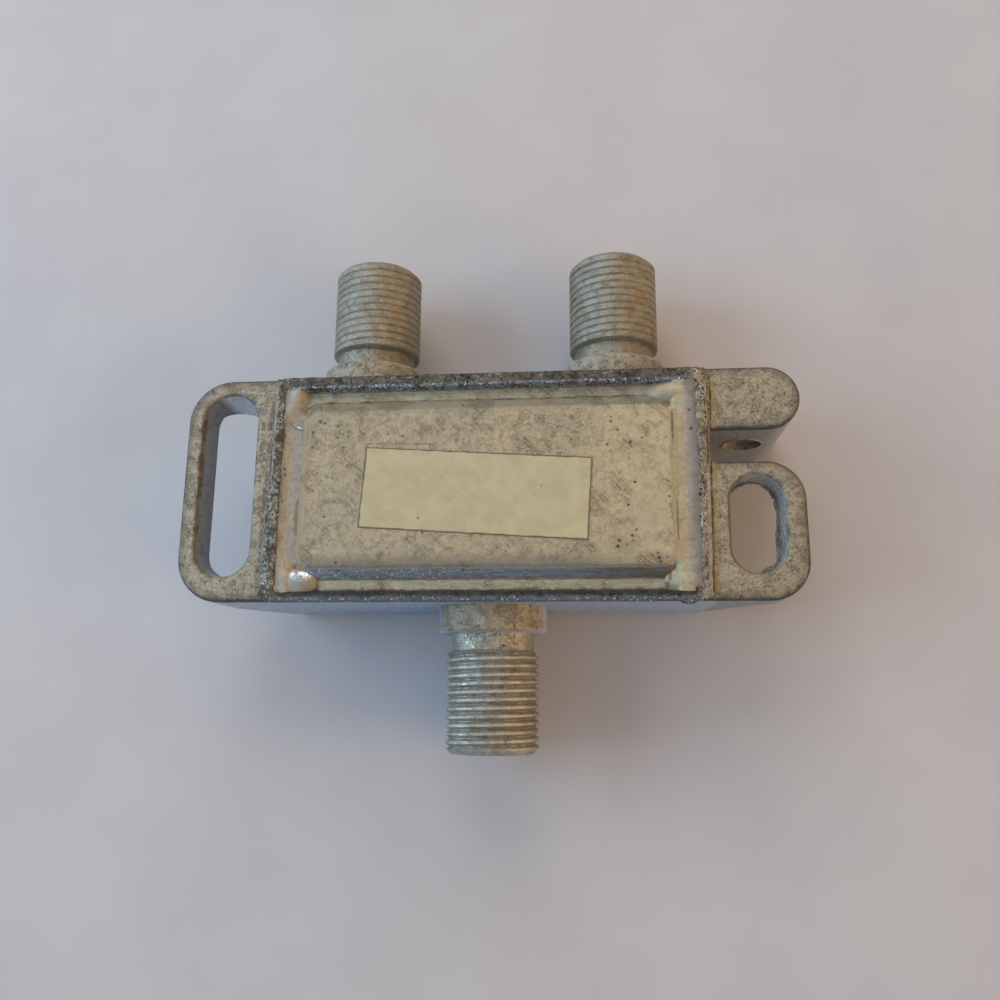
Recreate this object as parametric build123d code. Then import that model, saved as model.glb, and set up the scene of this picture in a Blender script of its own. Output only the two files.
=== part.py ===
from build123d import *
from math import radians, sqrt, tan
import os

# A two-way coaxial splitter, in millimetres. It lies on its front face: +Z points to the back cover,
# -Y is the input side and X runs from ear to ear. The origin is the middle of the front face.

# Die-cast case, between the ears
case_length = 43.6
case_width = 23.1
case_depth = 13.8
front_wall = 1.8
side_wall = 2.0
front_edge_radius = 1.2
cast_edge_radius = 0.5
cavity_corner_radius = 1.5

# Rim that stands round the cover, and the pocket inside it
rim_height = 0.2
rim_width = 1.0
rim_corner_radius = 1.0
pocket_offset = -0.15

# Left ear, with the long slot
left_ear_reach = 9.3
left_ear_thickness = 3.5
left_ear_corner = 4.5
left_ramp_reach = 7.0
left_slot_length = 18.9
left_slot_width = 5.5
left_slot_edge = 1.85
left_slot_y = 0.45

# Right ear, with the short slot, beside the ground block
right_ear_reach = 9.05
right_ear_thickness = 4.0
right_ear_width = 13.5
right_ear_corner = 3.8
right_ramp_reach = 4.6
right_slot_length = 9.55
right_slot_width = 5.05
right_slot_edge = 2.15
right_slot_y = -4.2
ramp_angle = 58.0

# Ground block, with the hole for the ground wire and the screw that clamps it
block_width = 6.4
block_front = 1.0
wire_hole_radius = 1.95
wire_hole_height = 8.2
wire_hole_from_end = 4.9
screw_radius = 1.7
screw_tip_radius = 0.9
screw_tip_length = 0.8
screw_slot_width = 0.8
screw_slot_depth = 1.0
screw_recess = 0.4

# Ports: threaded barrels seated in cast bosses
port_height = 6.9
input_x = 0.2
output_spacing = 26.2
boss_radius = 5.5
input_boss_length = 2.7
output_boss_length = 2.6
neck_radius = 4.2
neck_length = 1.7
thread_radius = 4.72
thread_length = 10.05
thread_start_chamfer = 0.3
mouth_chamfer = 0.55
groove_count = 8
groove_depth = 0.47
crest_width = 0.2
barrel_bore_radius = 3.3
lip_radius = 2.75
lip_length = 0.7

# Insulators and the spring contact for the cable's centre wire
front_insulator_length = 2.5
rear_insulator_length = 2.4
rear_flange_radius = 3.9
rear_flange_length = 0.6
entry_radius = 0.85
entry_flare = 0.5
contact_radius = 1.1
contact_bore_radius = 0.5
contact_rod_radius = 0.9
contact_seat_depth = 0.8
contact_slit_width = 0.25
contact_slit_length = 6.0
tail_width = 1.2
tail_thickness = 0.3
tail_reach = 1.7

# Pressed cover, its solder and its sticker
cover_sheet = 0.45
flange_drop = 0.7
flange_width = 1.2
slope_run = 1.4
panel_rise = 1.0
cover_corner_radius = 1.2
panel_edge_radius = 0.7
seam_rise = 0.78
seam_climb = 0.8
lobe_length = 2.4
label_length = 22.7
label_width = 8.25
label_thickness = 0.05
label_x = -1.0
label_y = -0.9
label_turn = -3.7

# Circuit board and what is on it
board_seat = 4.4
board_thickness = 1.0
board_end_gap = 0.5
board_side_gap = 1.2
post_size = 3.5
core_length = 5.2
core_height = 3.0
core_depth = 3.6
core_hole_radius = 0.75
core_hole_spacing = 2.2
matching_core_y = -3.2
splitting_core_y = 3.2
winding_wire_radius = 0.15
winding_level_gap = 0.5
winding_bend = 0.25
lead_radius = 0.2
lead_tail = 0.6
resistor_x = 0.0
resistor_y = 7.2
resistor_radius = 0.9
resistor_length = 3.8
resistor_pitch = 7.0
capacitor_x = 7.5
capacitor_y = -3.5
capacitor_radius = 2.2
capacitor_thickness = 1.4
capacitor_pitch = 2.54

# Clearances
slip = 0.05
cover_gap = 0.05

# Places that follow from the sizes above
half_length = case_length / 2
half_width = case_width / 2
right_tip = half_length + right_ear_reach
rim_top = case_depth + rim_height
flange_top = case_depth - flange_drop
cover_seat = flange_top - cover_sheet
cavity_half_length = half_length - side_wall
cavity_half_width = half_width - side_wall
pocket_half_length = half_length - rim_width
pocket_half_width = half_width - rim_width
foot_half_length = pocket_half_length - cover_gap - flange_width
foot_half_width = pocket_half_width - cover_gap - flange_width
panel_top = flange_top + panel_rise
board_top = board_seat + board_thickness
wire_hole_x = right_tip - wire_hole_from_end
block_y = half_width - block_width / 2
screw_tip_height = wire_hole_height - wire_hole_radius - slip

ports = {
    "input": {"x": input_x, "side": -1, "boss": input_boss_length},
    "output_left": {"x": -output_spacing / 2, "side": 1, "boss": output_boss_length},
    "output_right": {"x": output_spacing / 2, "side": 1, "boss": output_boss_length},
}


# Puts a piece drawn round local +Z, with zero on the case's outer wall, into its port
def at_port(shape, port):
    return Pos(port["x"], port["side"] * half_width, port_height) * Rot(X=-90 * port["side"]) * shape


def turned(points):
    return revolve(Plane.XZ * Polygon(*points, align=None), Axis.Z)


def rounded_block(length, width, radius, bottom, top, offset=0.0):
    return Pos(0, offset, bottom) * extrude(RectangleRounded(length, width, radius), top - bottom)


# An ear is its outline cut from a profile that thickens down a ramp into the case
def ear(side, ear_reach, high_y, thickness, corner, ramp_reach, slot_length, slot_width, slot_edge, slot_y):
    root = half_length - side_wall
    ear_tip = half_length + ear_reach
    underside = case_depth - thickness
    ramp_bottom = underside - ramp_reach * tan(radians(ramp_angle))
    profile = [
        (side * root, ramp_bottom),
        (side * half_length, ramp_bottom),
        (side * (half_length + ramp_reach), underside),
        (side * ear_tip, underside),
        (side * ear_tip, case_depth),
        (side * root, case_depth),
    ]
    outline = Pos(side * (root + ear_tip) / 2, (high_y - half_width) / 2) * Rectangle(
        ear_tip - root, high_y + half_width)
    outline = fillet(outline.vertices().sort_by(Axis.X)[::side][-2:], corner)
    plate = extrude(outline, case_depth)
    plate &= extrude(Plane.XZ * Polygon(*profile, align=None), case_width, both=True)
    slot_x = side * (ear_tip - slot_edge - slot_width / 2)
    slot = Pos(slot_x, slot_y) * Rot(Z=90) * SlotOverall(slot_length, slot_width)
    plate -= extrude(slot, case_depth)
    top = plate.faces().filter_by(Axis.Z).sort_by(Axis.Z)[-1]
    inner_x = side * root
    outer_edges = [edge for edge in top.edges() if abs(edge.center().X - inner_x) > 0.01]
    return fillet(outer_edges, cast_edge_radius)


def ground_block():
    root = half_length - side_wall
    end_x = right_tip - block_width / 2
    outline = Pos((root + end_x) / 2, block_y) * Rectangle(end_x - root, block_width)
    outline += Pos(end_x, block_y) * Circle(block_width / 2)
    block = Pos(Z=block_front) * extrude(outline, case_depth - block_front)
    flats = block.faces().filter_by(Axis.Z)
    rounded = [edge for edge in flats.edges() if abs(edge.center().X - root) > 0.01]
    return fillet(rounded, cast_edge_radius)


# The ground wire's hole runs along Y, and the screw's hole comes up into it from the front
def ground_holes():
    wire_hole = Rot(X=90) * Cylinder(wire_hole_radius, 2 * block_width)
    depth = wire_hole_height - block_front + slip
    screw_hole = Pos(Z=-depth / 2) * Cylinder(screw_radius + slip, depth)
    return Pos(wire_hole_x, block_y, wire_hole_height) * (wire_hole + screw_hole)


def port_boss(port):
    boss = Cylinder(boss_radius, side_wall + port["boss"], align=(Align.CENTER, Align.CENTER, Align.MIN))
    boss = fillet(boss.edges().sort_by(Axis.Z)[-1], cast_edge_radius)
    return at_port(Pos(Z=-side_wall) * boss, port)


def port_bore(port):
    reach = side_wall + port["boss"] + slip
    bore = Cylinder(neck_radius, 2 * reach)
    return at_port(bore, port)


# Cast posts in the corners of the cavity carry the circuit board
def board_posts():
    posts = Part()
    for x_side in (-1, 1):
        for y_side in (-1, 1):
            x = x_side * (cavity_half_length - post_size / 2)
            y = y_side * (cavity_half_width - post_size / 2)
            posts += Pos(x, y, board_seat / 2) * Box(post_size, post_size, board_seat)
    return posts


# The case's block, rounded along the front edges of its two ends
def case_block():
    block = Pos(Z=case_depth / 2) * Box(case_length, case_width, case_depth)
    front = block.edges().filter_by(Axis.Y).sort_by(Axis.Z)[:2]
    return fillet(front, front_edge_radius)


# What case and ears are trimmed to, so that one rounding runs along their front edges from tip to tip
def front_trim():
    section = Pos(0, case_depth / 2) * Rectangle(case_width, case_depth)
    section = fillet(section.vertices().sort_by(Axis.Y)[:2], front_edge_radius)
    return extrude(Plane.YZ * section, case_length, both=True)


# The zinc casting: case, ears, ground block, rim and port bosses, hollow behind the cover
def housing():
    casting = case_block()
    casting += ear(-1, left_ear_reach, half_width, left_ear_thickness, left_ear_corner,
                   left_ramp_reach, left_slot_length, left_slot_width, left_slot_edge, left_slot_y)
    casting += ear(1, right_ear_reach, right_ear_width - half_width, right_ear_thickness,
                   right_ear_corner, right_ramp_reach, right_slot_length, right_slot_width,
                   right_slot_edge, right_slot_y)
    casting &= front_trim()
    casting += ground_block()
    casting += rounded_block(case_length, case_width, rim_corner_radius, case_depth - rim_height, rim_top)
    for port in ports.values():
        casting += port_boss(port)
    casting -= rounded_block(2 * pocket_half_length, 2 * pocket_half_width, cover_corner_radius,
                             cover_seat, rim_top, pocket_offset)
    cavity = rounded_block(2 * cavity_half_length, 2 * cavity_half_width, cavity_corner_radius,
                           front_wall, cover_seat)
    casting -= cavity - board_posts()
    for port in ports.values():
        casting -= port_bore(port)
    return casting - ground_holes()


# The cover's raised panel is a frustum between its foot and its top, drawn again one sheet lower inside
def back_cover():
    slope_angle_half = (sqrt(slope_run ** 2 + panel_rise ** 2) - slope_run) / panel_rise
    inset = cover_sheet * slope_angle_half
    flange = rounded_block(2 * (pocket_half_length - cover_gap), 2 * (pocket_half_width - cover_gap),
                           cover_corner_radius, cover_seat, flange_top)
    raised = cover_frustum(0.0, flange_top, panel_top)
    panel_edges = raised.faces().sort_by(Axis.Z)[-1].edges()
    raised = fillet(panel_edges, panel_edge_radius)
    hollow = cover_frustum(inset, cover_seat, panel_top - cover_sheet)
    return Pos(Y=pocket_offset) * (flange + raised - hollow)


def cover_frustum(inset, bottom, top):
    foot = Pos(Z=bottom) * RectangleRounded(
        2 * (foot_half_length - inset), 2 * (foot_half_width - inset), cover_corner_radius + slope_run)
    panel = Pos(Z=top) * RectangleRounded(
        2 * (foot_half_length - slope_run - inset), 2 * (foot_half_width - slope_run - inset),
        cover_corner_radius)
    return loft([foot, panel])


# Solder fills the trench between the rim and the cover's slope at one end, and runs a little way along
# the flange at one corner. The other end is the same bead turned half round.
def solder_seam():
    edge = pocket_half_length - cover_gap
    foot = foot_half_length
    climb = slope_run * seam_climb / panel_rise
    bead_length = 2 * (pocket_half_width - cover_gap)
    lines = Polyline((-edge, flange_top + seam_rise), (-edge, flange_top), (-foot, flange_top),
                     (-foot + climb, flange_top + seam_climb))
    crown = ThreePointArc((-foot + climb, flange_top + seam_climb),
                          (-(edge + foot - climb) / 2, flange_top + seam_rise + 0.1),
                          (-edge, flange_top + seam_rise))
    section = Plane.XZ * make_face([lines, crown])
    bead = extrude(section, bead_length / 2, both=True)
    bead &= rounded_block(2 * edge, bead_length, cover_corner_radius, flange_top, rim_top)
    lobe_x = -foot + lobe_length / 2
    lobe_y = -pocket_half_width + cover_gap + flange_width / 2
    lobe = Pos(lobe_x, lobe_y, flange_top) * extrude(
        SlotOverall(lobe_length + flange_width, flange_width), seam_rise / 2)
    return bead + lobe - cover_frustum(0.0, flange_top, panel_top)


def seam_left():
    return Pos(Y=pocket_offset) * solder_seam()


def seam_right():
    return Pos(Y=pocket_offset) * Rot(Z=180) * solder_seam()


def cover_label():
    sticker = extrude(Rectangle(label_length, label_width), label_thickness)
    return Pos(label_x, label_y, panel_top) * Rot(Z=label_turn) * sticker


def mouth(port):
    return port["boss"] + neck_length + thread_length


def thread_rings(start, end):
    # ring grooves stand for the helical thread, a little wider apart than its turns
    spacing = (end - start - crest_width) / groove_count
    profile = [(thread_radius, start)]
    for number in range(groove_count):
        crest_end = start + number * spacing + crest_width
        next_crest = start + (number + 1) * spacing
        groove_middle = (crest_end + next_crest) / 2
        profile += [
            (thread_radius, crest_end),
            (thread_radius - groove_depth, groove_middle),
            (thread_radius, next_crest),
        ]
    return profile + [(thread_radius, end)]


def barrel(port):
    end = mouth(port)
    thread_start = port["boss"] + neck_length
    shank = neck_radius - slip / 2
    return at_port(turned([
        (barrel_bore_radius, -side_wall),
        (shank, -side_wall),
        (shank, thread_start),
        *thread_rings(thread_start + thread_start_chamfer, end - mouth_chamfer),
        (thread_radius - mouth_chamfer, end),
        (lip_radius, end),
        (lip_radius, end - lip_length),
        (barrel_bore_radius, end - lip_length),
    ]), port)


def front_insulator(port):
    front = mouth(port) - lip_length
    back = front - front_insulator_length
    seat = contact_radius + slip
    return at_port(turned([
        (seat, back),
        (barrel_bore_radius - slip, back),
        (barrel_bore_radius - slip, front),
        (entry_radius + entry_flare, front),
        (entry_radius, front - entry_flare),
        (entry_radius, back + contact_seat_depth),
        (seat, back + contact_seat_depth),
    ]), port)


def rear_insulator(port):
    back = -side_wall - rear_flange_length
    front = -side_wall + rear_insulator_length
    return at_port(turned([
        (contact_rod_radius + slip, back),
        (rear_flange_radius, back),
        (rear_flange_radius, -side_wall),
        (barrel_bore_radius - slip, -side_wall),
        (barrel_bore_radius - slip, front),
        (contact_rod_radius + slip, front),
    ]), port)


# A split socket on a rod, with a flat tail that bends down onto the circuit board
def contact(port):
    shoulder = -side_wall + rear_insulator_length
    back = -side_wall - rear_flange_length
    front = mouth(port) - lip_length - front_insulator_length + contact_seat_depth - slip
    socket = turned([
        (0, back),
        (contact_rod_radius, back),
        (contact_rod_radius, shoulder),
        (contact_radius, shoulder),
        (contact_radius, front),
        (contact_bore_radius, front),
        (contact_bore_radius, front - contact_slit_length - contact_radius),
        (0, front - contact_slit_length - contact_radius),
    ])
    slit = Pos(Z=front - contact_slit_length / 2) * Box(
        3 * contact_radius, contact_slit_width, contact_slit_length)
    socket -= slit + Rot(Z=90) * slit
    side = port["side"]
    start = side * (cavity_half_width - rear_flange_length + tail_thickness)
    end = side * (cavity_half_width - rear_flange_length - tail_reach)
    half = tail_thickness / 2
    strip = Polygon((start, port_height + half), (end, port_height + half), (end, board_top),
                    (end + side * tail_thickness, board_top),
                    (end + side * tail_thickness, port_height - half), (start, port_height - half),
                    align=None)
    tail = Pos(X=port["x"]) * extrude(Plane.YZ * strip, tail_width / 2, both=True)
    return at_port(socket, port) + tail


def lead_places():
    places = [(resistor_x - resistor_pitch / 2, resistor_y), (resistor_x + resistor_pitch / 2, resistor_y)]
    places += [(capacitor_x - capacitor_pitch / 2, capacitor_y),
               (capacitor_x + capacitor_pitch / 2, capacitor_y)]
    for core_y in (matching_core_y, splitting_core_y):
        for x_side in (-1, 1):
            places.append((x_side * core_hole_spacing / 2, core_y + winding_end_y()))
    return places


def circuit_board():
    length = 2 * (cavity_half_length - board_end_gap)
    width = 2 * (cavity_half_width - board_side_gap)
    board = Pos(Z=board_seat + board_thickness / 2) * Box(length, width, board_thickness)
    for x, y in lead_places():
        board -= Pos(x, y, board_seat) * Cylinder(lead_radius + slip, 3 * board_thickness)
    return board


def core(core_y):
    holes = Pos(core_hole_spacing / 2, 0) * Circle(core_hole_radius)
    holes += Pos(-core_hole_spacing / 2, 0) * Circle(core_hole_radius)
    section = SlotOverall(core_length, core_height) - holes
    return Pos(0, core_y, board_top + core_height / 2) * extrude(
        Plane.XZ * section, core_depth / 2, both=True)


# Where a winding's two ends go down into the board, measured from the middle of its core
def winding_end_y():
    return -core_depth / 2 - 4 * winding_bend - 2 * winding_wire_radius


# Two turns through both holes of a core: in through the left hole and back through the right one, twice
def winding(core_y):
    x = core_hole_spacing / 2
    upper = board_top + core_height / 2 + winding_level_gap / 2
    lower = upper - winding_level_gap
    end_y = core_y + winding_end_y()
    crossing_y = core_y - core_depth / 2 - 2 * winding_bend
    far_y = core_y + core_depth / 2 + 2 * winding_bend
    outer_far_y = far_y + 2 * winding_wire_radius
    below = board_seat - lead_tail
    path = FilletPolyline(
        (-x, end_y, below), (-x, end_y, upper), (-x, far_y, upper), (x, far_y, upper),
        (x, crossing_y, upper), (-x, crossing_y, lower), (-x, outer_far_y, lower),
        (x, outer_far_y, lower), (x, end_y, lower), (x, end_y, below), radius=winding_bend)
    return wire_along(path, winding_wire_radius)


def wire_along(path, radius):
    return sweep(Plane(path @ 0, z_dir=path % 0) * Circle(radius), path)


def balance_resistor():
    height = board_top + resistor_radius + slip
    half_pitch = resistor_pitch / 2
    below = board_seat - lead_tail
    body = Rot(Y=90) * Cylinder(resistor_radius, resistor_length)
    body = Pos(resistor_x, resistor_y, height) * fillet(body.edges().filter_by(GeomType.CIRCLE),
                                                        resistor_radius / 3)
    path = FilletPolyline(
        (resistor_x - half_pitch, resistor_y, below), (resistor_x - half_pitch, resistor_y, height),
        (resistor_x + half_pitch, resistor_y, height), (resistor_x + half_pitch, resistor_y, below),
        radius=3 * lead_radius)
    return body + wire_along(path, lead_radius)


def matching_capacitor():
    disc = Rot(X=90) * Cylinder(capacitor_radius, capacitor_thickness)
    disc = fillet(disc.edges().filter_by(GeomType.CIRCLE), capacitor_thickness / 3)
    middle = board_top + capacitor_radius + lead_tail
    below = board_seat - lead_tail
    capacitor = Pos(capacitor_x, capacitor_y, middle) * disc
    for x_side in (-1, 1):
        lead = Cylinder(lead_radius, middle - below, align=(Align.CENTER, Align.CENTER, Align.MIN))
        capacitor += Pos(capacitor_x + x_side * capacitor_pitch / 2, capacitor_y, below) * lead
    return capacitor


# Headless slotted screw. It clamps by moving up into the wire hole, and rests clear of it.
def ground_screw():
    screw = turned([
        (0, screw_recess),
        (screw_radius, screw_recess),
        (screw_radius, screw_tip_height - screw_tip_length),
        (screw_tip_radius, screw_tip_height),
        (0, screw_tip_height),
    ])
    screw -= Pos(0, 0, screw_recess + screw_slot_depth / 2) * Box(
        3 * screw_radius, screw_slot_width, screw_slot_depth)
    return Pos(wire_hole_x, block_y) * screw


nodes = {
    "housing": housing(),
    "back_cover": back_cover(),
    "solder_seam_left": seam_left(),
    "solder_seam_right": seam_right(),
    "cover_label": cover_label(),
    "circuit_board": circuit_board(),
    "matching_core": core(matching_core_y),
    "matching_winding": winding(matching_core_y),
    "splitting_core": core(splitting_core_y),
    "splitting_winding": winding(splitting_core_y),
    "balance_resistor": balance_resistor(),
    "matching_capacitor": matching_capacitor(),
    "ground_screw": ground_screw(),
}
for name, port in ports.items():
    nodes[name + "_port"] = barrel(port)
    nodes[name + "_front_insulator"] = front_insulator(port)
    nodes[name + "_rear_insulator"] = rear_insulator(port)
    nodes[name + "_contact"] = contact(port)

for name, shape in nodes.items():
    export_step(shape, "parts/" + name + ".step")
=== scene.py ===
import bpy
import bmesh
import random
from functools import partial, reduce
from math import radians, pi, sin, cos, hypot
from mathutils import Vector, Matrix


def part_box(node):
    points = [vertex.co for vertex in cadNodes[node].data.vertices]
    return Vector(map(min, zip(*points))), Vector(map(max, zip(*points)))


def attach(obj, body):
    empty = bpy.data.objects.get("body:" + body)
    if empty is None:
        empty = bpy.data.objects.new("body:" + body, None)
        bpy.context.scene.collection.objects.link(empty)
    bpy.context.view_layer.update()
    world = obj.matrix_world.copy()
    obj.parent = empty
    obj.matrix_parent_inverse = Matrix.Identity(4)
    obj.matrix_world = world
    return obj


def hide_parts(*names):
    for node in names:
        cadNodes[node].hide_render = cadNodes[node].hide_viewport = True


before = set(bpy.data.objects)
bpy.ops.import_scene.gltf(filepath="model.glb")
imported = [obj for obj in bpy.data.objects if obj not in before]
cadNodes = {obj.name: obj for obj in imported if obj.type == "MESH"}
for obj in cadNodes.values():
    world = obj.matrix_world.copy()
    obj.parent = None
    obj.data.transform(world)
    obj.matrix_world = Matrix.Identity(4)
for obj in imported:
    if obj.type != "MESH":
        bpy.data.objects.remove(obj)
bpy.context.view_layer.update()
mm = 0.001
print("frame loaded:", len(cadNodes), "nodes")

# faces of the part that the added pieces lie on
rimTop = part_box("housing")[1][2]
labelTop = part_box("cover_label")[1][2]
caseHalfWidth = 11.55 * mm
panelHalf = (18.1, 7.9)           # raised panel of the cover, in millimetres like the next two
coverHalf = (20.8, 10.55)
coverShift = -0.15                # along Y


# small helpers for edit mode
def deselectAll():
    bpy.ops.object.select_all(action="DESELECT")


def makeActive(piece):
    deselectAll()
    piece.select_set(True)
    bpy.context.view_layer.objects.active = piece


def nameLast(name):
    piece = bpy.context.object
    piece.name = name
    piece.data.name = name
    return piece


def addToScene(name, data):
    made = bpy.data.objects.new(name, data)
    bpy.context.scene.collection.objects.link(made)
    return made


def editMesh(piece):
    makeActive(piece)
    bpy.ops.object.mode_set(mode="EDIT")
    bpy.ops.mesh.select_mode(type="VERT")
    return bmesh.from_edit_mesh(piece.data)


def leaveEdit():
    bpy.ops.object.mode_set(mode="OBJECT")


def selectEverything(kind="VERT"):
    bpy.ops.mesh.select_mode(type=kind)
    bpy.ops.mesh.select_all(action="SELECT")


def applyAll(piece):
    makeActive(piece)
    for modifier in list(piece.modifiers):
        bpy.ops.object.modifier_apply(modifier=modifier.name)


def applyPlace(piece):
    makeActive(piece)
    bpy.ops.object.transform_apply(location=True, rotation=True, scale=True)


def cleanMesh(piece, distance=0.001 * mm):
    editMesh(piece)
    selectEverything()
    bpy.ops.mesh.remove_doubles(threshold=distance)
    bpy.ops.mesh.normals_make_consistent(inside=False)
    leaveEdit()


def smoothByAngle(piece, degrees):
    makeActive(piece)
    bpy.ops.object.shade_smooth_by_angle(angle=radians(degrees))


def joinPieces(pieces, name):
    deselectAll()
    for piece in pieces:
        piece.select_set(True)
    bpy.context.view_layer.objects.active = pieces[0]
    bpy.ops.object.join()
    return nameLast(name)


def bridgeLoops(piece):
    editMesh(piece)
    selectEverything("EDGE")
    bpy.ops.mesh.bridge_edge_loops()
    leaveEdit()


def thicken(piece, thickness, offset=-1.0):
    modifier = piece.modifiers.new("thick", "SOLIDIFY")
    modifier.thickness = thickness
    modifier.offset = offset


def wrinkle(piece, size, strength):
    # pushes the surface in and out with a solid texture
    texture = bpy.data.textures.new(piece.name + "Clouds", "CLOUDS")
    texture.noise_scale = size
    modifier = piece.modifiers.new("wrinkle", "DISPLACE")
    modifier.texture = texture
    modifier.texture_coords = "LOCAL"
    modifier.strength = strength
    applyAll(piece)


# draws a chain of edges by extruding one vertex from point to point
def drawChain(name, points):
    bpy.ops.mesh.primitive_plane_add(size=mm)
    piece = nameLast(name)
    mesh = editMesh(piece)
    bmesh.ops.delete(mesh, geom=list(mesh.verts)[1:], context="VERTS")
    mesh.verts.ensure_lookup_table()
    mesh.verts[0].co = points[0]
    mesh.verts[0].select = True
    bmesh.update_edit_mesh(piece.data)
    for start, end in zip(points, points[1:]):
        step = Vector(end) - Vector(start)
        bpy.ops.mesh.extrude_region_move(TRANSFORM_OT_translate={"value": step})
    leaveEdit()
    return piece


def smoothStep(value, low, high):
    share = min(max((value - low) / (high - low), 0.0), 1.0)
    return share * share * (3 - 2 * share)


def tone(red, green, blue):
    # a colour as the photograph shows it, from 0 to 255
    linear = [(value / 255 / 12.92) if value < 10.31 else ((value / 255 + 0.055) / 1.055) ** 2.4
              for value in (red, green, blue)]
    return (*linear, 1.0)


# shader nodes: each helper adds its node to the tree of the sockets that it is given
def isSocket(value):
    return isinstance(value, bpy.types.NodeSocket)


def setInputs(made, inputs):
    for name, value in inputs.items():
        if isSocket(value):
            made.id_data.links.new(value, made.inputs[name])
        else:
            made.inputs[name].default_value = value
    return made.outputs


def addNode(kind, inputs, settings=None, output=0):
    tree = next(value.id_data for value in inputs.values() if isSocket(value))
    made = tree.nodes.new("ShaderNode" + kind)
    for name, value in (settings or {}).items():
        setattr(made, name, value)
    outputs = setInputs(made, inputs)
    return outputs if output is None else outputs[output]


def maths(operation, first, second=0.0, clamp=False):
    return addNode("Math", {0: first, 1: second}, {"operation": operation, "use_clamp": clamp})


def times(first, *others):
    for second in others:
        first = maths("MULTIPLY", first, second)
    return first


plus = partial(maths, "ADD")
minus = partial(maths, "SUBTRACT")
larger = partial(maths, "MAXIMUM")
smaller = partial(maths, "MINIMUM")
absolute = partial(maths, "ABSOLUTE")


def vectorMaths(operation, first, second=None, output=0):
    inputs = {0: first} if second is None else {0: first, 1: second}
    return addNode("VectorMath", inputs, {"operation": operation}, output)


def splitVector(vector):
    return addNode("SeparateXYZ", {0: vector}, output=None)


def fade(value, low, high, toLow=0.0, toHigh=1.0):
    return addNode("MapRange", {"Value": value, "From Min": low, "From Max": high, "To Min": toLow,
                                "To Max": toHigh}, {"interpolation_type": "SMOOTHSTEP"})


def noise(point, scale, detail=3.0, roughness=0.55, distortion=0.0):
    return addNode("TexNoise", {"Vector": point, "Scale": scale, "Detail": detail, "Roughness": roughness,
                                "Distortion": distortion})


def mixColor(factor, first, second):
    return addNode("Mix", {0: factor, 6: first, 7: second}, {"data_type": "RGBA"}, 2)


def tint(color, mask, shade, amount=1.0):
    # lays a shade over a colour where the mask shows
    return mixColor(times(mask, amount) if amount < 1.0 else mask, color, tone(*shade))


def between(value, low, high):
    # eases from low to high while the value goes from 0 to 1
    return fade(value, 0.0, 1.0, low, high)


def ramp(value, low, high):
    # a fade between two sizes in millimetres
    return fade(value, low * mm, high * mm)


def cloud(point, scale, detail, low, high, toLow=0.0, toHigh=1.0):
    return fade(noise(point, scale, detail), low, high, toLow, toHigh)


def wobble(reach, *texture):
    return times(minus(noise(*texture), 0.5), reach * mm)


def colorRamp(value, stops):
    made = value.id_data.nodes.new("ShaderNodeValToRGB")
    elements = made.color_ramp.elements
    for place, shade in stops[2:]:
        elements.new(place)
    for element, (place, shade) in zip(elements, stops):
        element.position = place
        element.color = tone(*shade)
    return setInputs(made, {"Fac": value})["Color"]


def startGroup(name, inputs, outputs):
    # inputs and outputs give the names of the sockets of each kind
    tree = bpy.data.node_groups.new(name, "ShaderNodeTree")
    for side, sockets in (("INPUT", inputs), ("OUTPUT", outputs)):
        for kind, labels in sockets.items():
            for label in labels.split():
                tree.interface.new_socket(label, in_out=side, socket_type="NodeSocket" + kind)
    return tree.nodes.new("NodeGroupInput").outputs, tree.nodes.new("NodeGroupOutput")


def finishGroup(out, results):
    setInputs(out, results)
    return out.id_data


def useGroup(group, point, inputs):
    return addNode("Group", {"Point": point, **inputs}, {"node_tree": group}, None)


# cast or tarnished skin: cloudy patches, sharp fine grain, thin curled dark marks and specks
def makeCastSkin():
    given, out = startGroup("castSkin", {"Vector": "Point", "Color": "Light Dark",
                                         "Float": "Grain Mottling Curls"},
                            {"Color": "Color", "Float": "Roughness Height"})
    point = given["Point"]
    coarser = times(given["Grain"], 0.3)
    fine = fade(noise(point, given["Grain"], 3.0, 0.75), 0.38, 0.62)
    middle = fade(noise(point, coarser, 4.0, 0.65), 0.38, 0.62)
    broad = cloud(point, 240.0, 2.0, 0.35, 0.65)
    shade = plus(times(fine, 0.7), times(middle, 0.25))
    shade = plus(shade, times(broad, 0.15))
    dark = times(shade, given["Mottling"])
    curl = noise(point, times(given["Grain"], 0.45), 2.0, 0.6, 1.8)
    line = fade(absolute(minus(curl, 0.5)), 0.035, 0.01)
    where = cloud(point, coarser, 3.0, 0.48, 0.55)
    line = times(line, where)
    dark = plus(dark, times(line, given["Curls"]), True)
    height = minus(minus(1.0, fine), times(line, 0.8))
    return finishGroup(out, {"Color": mixColor(dark, given["Light"], given["Dark"]),
                             "Roughness": between(middle, 0.42, 0.6), "Height": height})


# round dark pits in a share of the cells of a cell pattern
def makePitMarks():
    given, out = startGroup("pitMarks", {"Vector": "Point", "Float": "Scale Share Size"}, {"Float": "Mask"})
    point = given["Point"]
    cells = addNode("TexVoronoi", {"Vector": point, "Scale": given["Scale"]}, output=None)
    chance = splitVector(cells["Color"])
    chosen = maths("LESS_THAN", chance[0], given["Share"])
    radius = times(given["Size"], plus(chance[1], 0.35))
    inner = times(radius, 0.45)
    spot = addNode("MapRange", {"Value": cells["Distance"], "From Min": radius, "From Max": inner})
    return finishGroup(out, {"Mask": times(spot, chosen)})


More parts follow.
